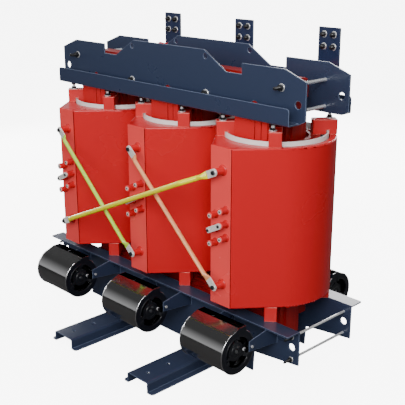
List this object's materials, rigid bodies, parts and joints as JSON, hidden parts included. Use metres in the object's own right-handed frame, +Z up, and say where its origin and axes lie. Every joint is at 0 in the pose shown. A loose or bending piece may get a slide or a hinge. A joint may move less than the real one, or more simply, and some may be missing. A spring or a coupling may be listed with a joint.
{
  "type": "dry type transformer",
  "caption": "Cast-resin dry-type power transformer: red coils on a clamped core, delta bars, rear low-voltage palms, hat-section feet and drum cooling fans.",
  "frame": {"origin": "on the ground under the middle of the unit", "axes": "+X along the row of coils, -Y towards the high-voltage face, +Z up"},
  "size_m": [1.776, 1.24, 1.574],
  "materials": {
    "coil_resin": "cast epoxy resin, satin gloss red",
    "lv_resin": "resin-filled foil winding, satin dark red",
    "core_paint": "sprayed red enamel over laminations",
    "clamp_paint": "powder coat, satin slate blue",
    "pad_board": "moulded insulating board, matt red",
    "barrier_board": "white insulating laminate, matt",
    "spacer_resin": "moulded resin, satin red",
    "zinc_steel": "zinc-plated steel",
    "black_steel": "blackened steel",
    "terminal_metal": "tinned terminal metal",
    "bar_green": "gloss yellow-green sleeve over bar",
    "bar_orange": "gloss pale orange sleeve over bar",
    "bar_yellow": "gloss yellow sleeve over bar",
    "bar_paint": "dark blue enamel over bar",
    "fan_black": "gloss black enamel",
    "wheel_metal": "plain aluminium",
    "motor_paint": "satin black enamel"
  },
  "bodies": {
    "root": {"core_frame": "core_paint", "upper_yoke": "core_paint", "upper_yoke_pads": "pad_board", "lower_yoke_pads": "pad_board", "upper_clamp_front": "clamp_paint", "upper_clamp_back": "clamp_paint", "lower_clamp_front": "clamp_paint", "lower_clamp_back": "clamp_paint", "base_channel_left": "clamp_paint", "base_channel_right": "clamp_paint", "hv_coil_a": "coil_resin", "lv_coil_a": "lv_resin", "barrier_cylinder_a": "barrier_board", "top_spacers_a": "spacer_resin", "bottom_spacers_a": "spacer_resin", "lv_terminal_a": "bar_paint", "hv_coil_b": "coil_resin", "lv_coil_b": "lv_resin", "barrier_cylinder_b": "barrier_board", "top_spacers_b": "spacer_resin", "bottom_spacers_b": "spacer_resin", "lv_terminal_b": "bar_paint", "hv_coil_c": "coil_resin", "lv_coil_c": "lv_resin", "barrier_cylinder_c": "barrier_board", "top_spacers_c": "spacer_resin", "bottom_spacers_c": "spacer_resin", "lv_terminal_c": "bar_paint", "press_bolts": "zinc_steel", "yoke_bolts": "zinc_steel", "upper_tie_rods": "zinc_steel", "lower_tie_rods": "zinc_steel", "hv_terminal_bolts": "black_steel", "tap_inserts": "terminal_metal", "tap_links": "terminal_metal", "tap_bolts": "black_steel", "delta_bar_ab": "bar_green", "delta_bar_bc": "bar_orange", "delta_bar_ca": "bar_yellow", "lv_terminal_bolts": "zinc_steel", "lv_post_insulators": "spacer_resin", "fan_bolts": "zinc_steel", "fan_housing_front_a": "fan_black", "fan_motor_front_a": "motor_paint", "fan_housing_front_b": "fan_black", "fan_motor_front_b": "motor_paint", "fan_housing_front_c": "fan_black", "fan_motor_front_c": "motor_paint", "fan_housing_back_a": "fan_black", "fan_motor_back_a": "motor_paint", "fan_housing_back_b": "fan_black", "fan_motor_back_b": "motor_paint", "fan_housing_back_c": "fan_black", "fan_motor_back_c": "motor_paint"},
    "impeller_front_a": {"fan_impeller_front_a": "wheel_metal"},
    "impeller_front_b": {"fan_impeller_front_b": "wheel_metal"},
    "impeller_front_c": {"fan_impeller_front_c": "wheel_metal"},
    "impeller_back_a": {"fan_impeller_back_a": "wheel_metal"},
    "impeller_back_b": {"fan_impeller_back_b": "wheel_metal"},
    "impeller_back_c": {"fan_impeller_back_c": "wheel_metal"}
  },
  "joints": [
    {"name": "impeller_front_a_spin", "type": "hinge", "parent": "root", "child": "impeller_front_a", "pos_m": [-0.49, -0.441, 0.295], "axis": [1, 0, 0], "continuous": true},
    {"name": "impeller_front_b_spin", "type": "hinge", "parent": "root", "child": "impeller_front_b", "pos_m": [0.07, -0.441, 0.295], "axis": [1, 0, 0], "continuous": true},
    {"name": "impeller_front_c_spin", "type": "hinge", "parent": "root", "child": "impeller_front_c", "pos_m": [0.63, -0.441, 0.295], "axis": [1, 0, 0], "continuous": true},
    {"name": "impeller_back_a_spin", "type": "hinge", "parent": "root", "child": "impeller_back_a", "pos_m": [-0.63, 0.441, 0.258], "axis": [1, 0, 0], "continuous": true},
    {"name": "impeller_back_b_spin", "type": "hinge", "parent": "root", "child": "impeller_back_b", "pos_m": [-0.07, 0.441, 0.258], "axis": [1, 0, 0], "continuous": true},
    {"name": "impeller_back_c_spin", "type": "hinge", "parent": "root", "child": "impeller_back_c", "pos_m": [0.49, 0.441, 0.258], "axis": [1, 0, 0], "continuous": true}
  ]
}
